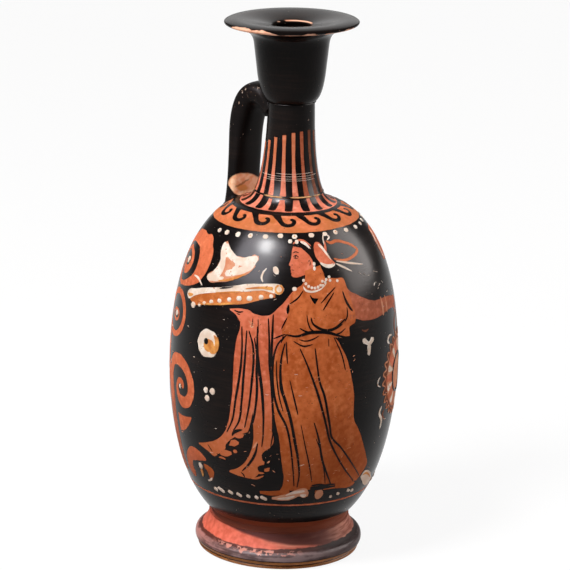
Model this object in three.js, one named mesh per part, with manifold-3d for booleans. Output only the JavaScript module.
// A slim oil flask of painted clay with one strap handle, made as a potter makes it: foot, body,
// neck and mouth are thrown separately, the handle is pulled by hand, and clay slip lutes them
// together before the firing. Millimetres, +Z up. The origin is the middle of the foot's resting
// plane, and the handle stands towards +Y.

import * as THREE from "three";
import { mergeVertices } from "three/addons/utils/BufferGeometryUtils.js";
import Module from "manifold-3d";

const wasm = await Module();
wasm.setup();

// The whole flask, from the resting plane to the top of the lip
const FLASK_HEIGHT = 240;

// Luting: the slip between two thrown pieces, and how far it was squeezed out past them
const SLIP_THICKNESS = 0.6;
const SLIP_BEAD = 0.35;
// Room between the handle's fitted ends and the walls that they are luted to
const FIT_GAP = 0.3;

// Foot: a turned disc with a moulded edge, hollowed underneath
const FOOT_HEIGHT = 15;
const FOOT_RIM_RADIUS = 37.4;
const FOOT_RIM_HEIGHT = 7.4;
const FOOT_TOE_INSET = 1.3;
const FOOT_TOE_HEIGHT = 1.8;
const FOOT_GROOVE = 0.5;
const FOOT_EDGE_ROUND = 1.4;
const FOOT_REST_WIDTH = 10.4;
const FOOT_HOLLOW_DEPTH = 4;
const WAIST_RADIUS = 31.1;

// Body: an egg-shaped wall, from the waist over the belly to a nearly flat shoulder
const BODY_WALL = 4;
const BODY_FLOOR = 5;
const STEM_HEIGHT = 2.4;
const BELLY_RADIUS = 50.7;
const BELLY_RISE = 69.6;
const SHOULDER_RADIUS = 20.9;
const NECK_FILLET_RISE = 4.5;
// Leans of the wall from the upright at the waist, and from the level at the shoulder
const WAIST_LEAN_DEG = 47.5;
const SHOULDER_LEAN_DEG = 12.5;
// Fullness of each curve: how far it follows its end's direction, as a share of its rise
const WAIST_FULLNESS = 0.265;
const LOWER_BELLY_FULLNESS = 0.397;
const UPPER_BELLY_FULLNESS = 0.853;
const SHOULDER_FULLNESS = 0.076;

// Neck: a tapering tube
const NECK_HEIGHT = 39.2;
const NECK_BASE_RADIUS = 15;
const NECK_TOP_RADIUS = 10.3;
const NECK_WALL = 3.4;
const NECK_BASE_LEAN_DEG = 25;
const NECK_BASE_FULLNESS = 0.18;
const NECK_TOP_FULLNESS = 0.46;

// Mouth: a deep cup with a wide, almost flat lip
const CUP_HEIGHT = 24.6;
const CUP_BASE_STEP = 0.4;
const CUP_SWELL_RISE = 14;
const CUP_SWELL_RADIUS = 15.1;
const CUP_TOP_RADIUS = 16.3;
const CUP_WALL = 4.9;
const CUP_BASE_LEAN_DEG = 55;
const CUP_SIDE_LEAN_DEG = 6;
const LIP_RADIUS = 29.3;
const LIP_RISE = 9.1;
const LIP_EDGE = 2.4;
const LIP_UNDER_LEAN_DEG = 16;
const LIP_DISH = 1.5;
const MOUTH_HOLE_RADIUS = 9.3;
const MOUTH_HOLE_ROUND = 1.5;

// Handle: a strap from under the mouth to the shoulder
const HANDLE_WIDTH = 17;
const HANDLE_THICKNESS = 9;
const HANDLE_EDGE_ROUND = 3.6;
const HANDLE_REACH = 27;
const HANDLE_CROWN_RISE = 18;
const HANDLE_BEND_DROP = 12;
const HANDLE_ROOT_RADIUS = 29;
const HANDLE_SINK = 3;
const HANDLE_NECK_LEAN_DEG = 40;
// The clay smoothed round each end of the strap: how far out on the wall, and how far up the strap
const PAD_SPREAD = 1.3;
const PAD_RISE = 3.2;

// Facets
const TURNS = 48;
const HANDLE_STEPS = 22;
const EDGE_STEPS = 2;

// Heights of the joints, stacked from the resting plane. The wall between belly and shoulder takes
// up what the other heights leave of the whole.
const lowerHeights = FOOT_HEIGHT + BELLY_RISE + NECK_FILLET_RISE;
const upperHeights = NECK_HEIGHT + CUP_HEIGHT + LIP_RISE + LIP_EDGE;
const SHOULDER_RISE = FLASK_HEIGHT - lowerHeights - upperHeights - 3 * SLIP_THICKNESS;
const BODY_BASE = FOOT_HEIGHT + SLIP_THICKNESS;
const STEM_TOP = BODY_BASE + STEM_HEIGHT;
const BELLY_HEIGHT = BODY_BASE + BELLY_RISE;
const SHOULDER_HEIGHT = BELLY_HEIGHT + SHOULDER_RISE;
const BODY_TOP = SHOULDER_HEIGHT + NECK_FILLET_RISE;
const NECK_BASE = BODY_TOP + SLIP_THICKNESS;
const NECK_TOP = NECK_BASE + NECK_HEIGHT;
const MOUTH_BASE = NECK_TOP + SLIP_THICKNESS;
const CUP_TOP = MOUTH_BASE + CUP_HEIGHT;
const LIP_UNDERSIDE = CUP_TOP + LIP_RISE;
const LIP_TOP = LIP_UNDERSIDE + LIP_EDGE;

// Profile helpers. A profile is a list of (radius, height) points.
const at = (radius, height) => new THREE.Vector2(radius, height);

// A point that lies some way from another, at an angle above the outward level
function towards(start, degrees, distance) {
  const angle = THREE.MathUtils.degToRad(degrees);
  return at(start.x + distance * Math.cos(angle), start.y + distance * Math.sin(angle));
}

function bend(start, pullStart, pullEnd, end, steps) {
  return new THREE.CubicBezierCurve(start, pullStart, pullEnd, end).getPoints(steps);
}

// A profile moved square to itself by a distance, outwards if positive
function offset(profile, distance) {
  return profile.map((point, i) => {
    const before = profile[Math.max(i - 1, 0)];
    const after = profile[Math.min(i + 1, profile.length - 1)];
    const along = after.clone().sub(before).normalize();
    return at(point.x + along.y * distance, point.y - along.x * distance);
  });
}

// The radius of a rising profile at a height
function radiusAt(profile, height) {
  const i = Math.max(1, profile.findIndex((p) => p.y >= height));
  const [low, high] = [profile[i - 1], profile[i]];
  return low.x + ((high.x - low.x) * (height - low.y)) / (high.y - low.y);
}

// The height of a profile that narrows as it rises, at a radius
function heightAt(profile, radius) {
  const i = Math.max(1, profile.findIndex((p) => p.x <= radius));
  const [low, high] = [profile[i - 1], profile[i]];
  return low.y + ((high.y - low.y) * (radius - low.x)) / (high.x - low.x);
}

// A profile turned about the upright axis
function turned(profile) {
  return new THREE.LatheGeometry(profile, TURNS).rotateX(Math.PI / 2);
}

// A profile that goes round its own section, turned to a ring
function ring(profile) {
  return turned([...profile, profile[0]]);
}

// A solid block with the outline of a profile, for cutting what is fitted against it
function filled(profile) {
  return turned([at(0, profile[0].y), ...profile, at(0, profile.at(-1).y)]);
}

// Booleans
function solidOf(geometry) {
  const bare = geometry.clone();
  bare.deleteAttribute("normal");
  bare.deleteAttribute("uv");
  const merged = mergeVertices(bare, 1e-3);
  const vertProperties = new Float32Array(merged.attributes.position.array);
  const triVerts = new Uint32Array(merged.index.array);
  return new wasm.Manifold(new wasm.Mesh({ numProp: 3, vertProperties, triVerts }));
}

function geometryOf(solid) {
  const mesh = solid.getMesh();
  const geometry = new THREE.BufferGeometry();
  geometry.setAttribute("position", new THREE.BufferAttribute(mesh.vertProperties, 3));
  geometry.setIndex(new THREE.BufferAttribute(mesh.triVerts, 1));
  geometry.computeVertexNormals();
  return geometry;
}

function cut(solid, ...cutters) {
  return geometryOf(cutters.reduce((left, cutter) => left.subtract(cutter), solid));
}

// Foot
function footGeometry() {
  const toeRadius = FOOT_RIM_RADIUS - FOOT_TOE_INSET;
  const rest = at(toeRadius - FOOT_TOE_HEIGHT / 2, 0);
  const hollow = at(rest.x - FOOT_REST_WIDTH, 0);
  const rimLow = at(toeRadius - FOOT_GROOVE, FOOT_TOE_HEIGHT);
  const rimMiddle = at(FOOT_RIM_RADIUS, (FOOT_TOE_HEIGHT + FOOT_RIM_HEIGHT) / 2);
  const rimHigh = at(FOOT_RIM_RADIUS - FOOT_EDGE_ROUND, FOOT_RIM_HEIGHT);
  const slope = at(rimHigh.x - FOOT_GROOVE, FOOT_RIM_HEIGHT + FOOT_GROOVE / 2);
  const waist = at(WAIST_RADIUS, FOOT_HEIGHT);
  const rimCurve = (end, lean) => at((end.x + rimMiddle.x * lean) / (1 + lean), (end.y + rimMiddle.y) / 2);
  return turned([
    at(0, FOOT_HOLLOW_DEPTH),
    at(hollow.x - FOOT_HOLLOW_DEPTH, FOOT_HOLLOW_DEPTH),
    hollow,
    rest,
    at(toeRadius, FOOT_TOE_HEIGHT / 2),
    rimLow,
    rimCurve(rimLow, 3),
    rimMiddle,
    rimCurve(rimHigh, 3),
    rimHigh,
    slope,
    at((slope.x + waist.x * 2) / 3, (slope.y + waist.y) / 2),
    waist,
    at(0, FOOT_HEIGHT),
  ]);
}

// Body
const stem = at(WAIST_RADIUS, STEM_TOP);
const belly = at(BELLY_RADIUS, BELLY_HEIGHT);
const shoulder = at(SHOULDER_RADIUS, SHOULDER_HEIGHT);
const neckSeat = at(NECK_BASE_RADIUS, BODY_TOP);
const lowerRise = BELLY_HEIGHT - STEM_TOP;

const lowerWall = bend(
  stem,
  towards(stem, 90 - WAIST_LEAN_DEG, WAIST_FULLNESS * lowerRise),
  towards(belly, -90, LOWER_BELLY_FULLNESS * lowerRise),
  belly,
  9,
);
const upperWall = bend(
  belly,
  towards(belly, 90, UPPER_BELLY_FULLNESS * SHOULDER_RISE),
  towards(shoulder, -SHOULDER_LEAN_DEG, SHOULDER_FULLNESS * SHOULDER_RISE),
  shoulder,
  12,
);
const neckFillet = bend(
  shoulder,
  towards(shoulder, 180 - SHOULDER_LEAN_DEG, (SHOULDER_RADIUS - NECK_BASE_RADIUS) / 2),
  towards(neckSeat, NECK_BASE_LEAN_DEG - 90, NECK_FILLET_RISE / 2),
  neckSeat,
  4,
);
const shoulderOutline = [...upperWall, ...neckFillet.slice(1)];
const bodyOutline = [at(WAIST_RADIUS, BODY_BASE), ...lowerWall, ...shoulderOutline.slice(1)];
const seatBore = NECK_BASE_RADIUS - NECK_WALL;

function bodyGeometry() {
  const floor = BODY_BASE + BODY_FLOOR;
  const inside = offset(bodyOutline.slice(1), -BODY_WALL);
  const wall = inside.filter((p) => p.y > floor && p.x > seatBore && p.y < BODY_TOP);
  return turned([
    at(0, BODY_BASE),
    ...bodyOutline,
    at(seatBore, BODY_TOP),
    ...wall.reverse(),
    at(radiusAt(inside, floor), floor),
    at(0, floor),
  ]);
}

// Neck
const neckFoot = at(NECK_BASE_RADIUS, NECK_BASE);
const neckHead = at(NECK_TOP_RADIUS, NECK_TOP);
const neckOutline = bend(
  neckFoot,
  towards(neckFoot, 90 + NECK_BASE_LEAN_DEG, NECK_BASE_FULLNESS * NECK_HEIGHT),
  towards(neckHead, -90, NECK_TOP_FULLNESS * NECK_HEIGHT),
  neckHead,
  9,
);

function neckGeometry() {
  const bore = neckOutline.map((p) => at(p.x - NECK_WALL, p.y));
  return ring([...neckOutline, ...bore.reverse()]);
}

// Mouth
const mouthBore = NECK_TOP_RADIUS - NECK_WALL;
const cupFoot = at(NECK_TOP_RADIUS + CUP_BASE_STEP, MOUTH_BASE);
const cupSwell = at(CUP_SWELL_RADIUS, MOUTH_BASE + CUP_SWELL_RISE);
const cupHead = at(CUP_TOP_RADIUS, CUP_TOP);
const lipLow = at(LIP_RADIUS - LIP_EDGE / 3, LIP_UNDERSIDE);
const cupSide = bend(
  cupFoot,
  towards(cupFoot, 90 - CUP_BASE_LEAN_DEG, CUP_SWELL_RISE * 0.23),
  towards(cupSwell, -90 - CUP_SIDE_LEAN_DEG, CUP_SWELL_RISE * 0.43),
  cupSwell,
  5,
);
const lipUnder = bend(
  cupHead,
  towards(cupHead, 90 - CUP_SIDE_LEAN_DEG, LIP_RISE * 0.7),
  towards(lipLow, 180 + LIP_UNDER_LEAN_DEG, (LIP_RADIUS - CUP_TOP_RADIUS) * 0.7),
  lipLow,
  6,
);
const cupOutline = [...cupSide, ...lipUnder];

function mouthGeometry() {
  const lipMiddle = at(LIP_RADIUS, LIP_UNDERSIDE + LIP_EDGE / 2);
  const lipHigh = at(lipLow.x, LIP_TOP - LIP_EDGE / 6);
  const lipCrown = at(LIP_RADIUS - LIP_EDGE, LIP_TOP);
  const dishEdge = at(MOUTH_HOLE_RADIUS + MOUTH_HOLE_ROUND, LIP_TOP - LIP_DISH);
  const hole = at(MOUTH_HOLE_RADIUS, dishEdge.y - MOUTH_HOLE_ROUND);
  const dishPull = (lipCrown.x - dishEdge.x) / 3;
  const dish = bend(
    lipCrown,
    towards(lipCrown, 180, dishPull),
    at(dishEdge.x + dishPull, dishEdge.y + LIP_DISH / 3),
    dishEdge,
    4,
  );
  const insideRadius = CUP_SWELL_RADIUS - CUP_WALL;
  const inside = bend(
    hole,
    at(insideRadius, hole.y),
    at(insideRadius, MOUTH_BASE + CUP_SWELL_RISE / 2),
    at(mouthBore, MOUTH_BASE),
    7,
  );
  return ring([...cupOutline, lipMiddle, lipHigh, ...dish, ...inside]);
}

// Slip between two level faces, squeezed out to a rounded bead at its outer edge
function slipEdge(base, radius) {
  return [
    at(radius, base),
    at(radius + SLIP_BEAD, base + SLIP_THICKNESS / 2),
    at(radius, base + SLIP_THICKNESS),
  ];
}

function slipRing(base, radius, bore) {
  return ring([at(bore, base), ...slipEdge(base, radius), at(bore, base + SLIP_THICKNESS)]);
}

// Handle. Its path lies in the upright plane through the axis, from inside the neck's wall to
// under the shoulder's skin, and its ends are cut to fit the walls.
const handleTop = NECK_TOP - SLIP_THICKNESS - PAD_SPREAD - HANDLE_THICKNESS / 2;
const handleNeckRadius = radiusAt(neckOutline, handleTop);
const handleRoot = heightAt(shoulderOutline, HANDLE_ROOT_RADIUS);
const upright = (radius, height) => new THREE.Vector3(0, radius, height);

function handlePath() {
  const start = upright(handleNeckRadius - HANDLE_SINK, handleTop - HANDLE_SINK);
  const side = upright(HANDLE_REACH, handleTop - HANDLE_BEND_DROP);
  const root = upright(HANDLE_ROOT_RADIUS, handleRoot - HANDLE_SINK);
  const straight = side.z - handleRoot;
  const path = new THREE.CurvePath();
  path.add(
    new THREE.CubicBezierCurve3(
      start,
      upright(start.y + HANDLE_CROWN_RISE * 0.6, start.z + HANDLE_CROWN_RISE),
      upright(HANDLE_REACH, side.z + HANDLE_CROWN_RISE * 1.2),
      side,
    ),
  );
  path.add(
    new THREE.CubicBezierCurve3(
      side,
      upright(HANDLE_REACH, side.z - straight / 3),
      upright(HANDLE_REACH, handleRoot + straight / 4),
      root,
    ),
  );
  return path;
}

// The strap's section with rounded edges, grown all round by a margin
function strapSection(margin) {
  const [w, t] = [HANDLE_WIDTH / 2 + margin, HANDLE_THICKNESS / 2 + margin];
  const round = Math.min(HANDLE_EDGE_ROUND + margin, w, t);
  const quarter = Math.PI / 2;
  return new THREE.Shape()
    .absarc(w - round, t - round, round, 0, quarter)
    .absarc(round - w, t - round, round, quarter, 2 * quarter)
    .absarc(round - w, round - t, round, 2 * quarter, 3 * quarter)
    .absarc(w - round, round - t, round, 3 * quarter, 4 * quarter);
}

function strap(margin) {
  const sweep = { extrudePath: handlePath(), steps: HANDLE_STEPS, curveSegments: EDGE_STEPS };
  return solidOf(new THREE.ExtrudeGeometry(strapSection(margin), sweep));
}

const mouthBead = slipEdge(NECK_TOP, NECK_TOP_RADIUS)[1];
const bodyBlock = solidOf(filled(offset(bodyOutline, FIT_GAP)));
const neckBlock = solidOf(filled(offset([...neckOutline, mouthBead, ...cupOutline], FIT_GAP)));
const strapBlock = strap(FIT_GAP);

function handleGeometry() {
  return cut(strap(0), bodyBlock, neckBlock);
}

// The clay smoothed round one end of the strap: wide on the wall and thinning out up the strap
function padGeometry(radius, height, leanDegrees) {
  const layer = (margin, rise) => {
    const depth = HANDLE_SINK + rise;
    const slab = { depth, bevelEnabled: false, curveSegments: EDGE_STEPS };
    const geometry = new THREE.ExtrudeGeometry(strapSection(margin), slab);
    geometry.translate(0, 0, -HANDLE_SINK);
    geometry.rotateX(-THREE.MathUtils.degToRad(leanDegrees));
    return solidOf(geometry.translate(0, radius, height));
  };
  const mound = wasm.Manifold.hull([layer(PAD_SPREAD, PAD_RISE / 4), layer(2 * FIT_GAP, PAD_RISE)]);
  return cut(mound, bodyBlock, neckBlock, strapBlock);
}

// Materials
const finish = (color, roughness) => new THREE.MeshStandardMaterial({ color, roughness, metalness: 0 });
const blackGloss = finish(0x1e1917, 0.32);
const redClay = finish(0xb9603f, 0.7);
const slipClay = finish(0xa4583a, 0.8);

// Assembly
const flask = new THREE.Group();

function place(name, geometry, material) {
  const mesh = new THREE.Mesh(geometry, material);
  mesh.name = name;
  flask.add(mesh);
}

place("foot", footGeometry(), redClay);
place("foot_luting", filled(slipEdge(FOOT_HEIGHT, WAIST_RADIUS)), slipClay);
place("body", bodyGeometry(), blackGloss);
place("neck_luting", slipRing(BODY_TOP, NECK_BASE_RADIUS, seatBore), slipClay);
place("neck", neckGeometry(), blackGloss);
place("mouth_luting", slipRing(NECK_TOP, NECK_TOP_RADIUS, mouthBore), slipClay);
place("mouth", mouthGeometry(), blackGloss);
place("handle", handleGeometry(), blackGloss);
place("handle_top_luting", padGeometry(handleNeckRadius, handleTop, HANDLE_NECK_LEAN_DEG), blackGloss);
place("handle_root_luting", padGeometry(HANDLE_ROOT_RADIUS, handleRoot, 0), blackGloss);

export default flask;
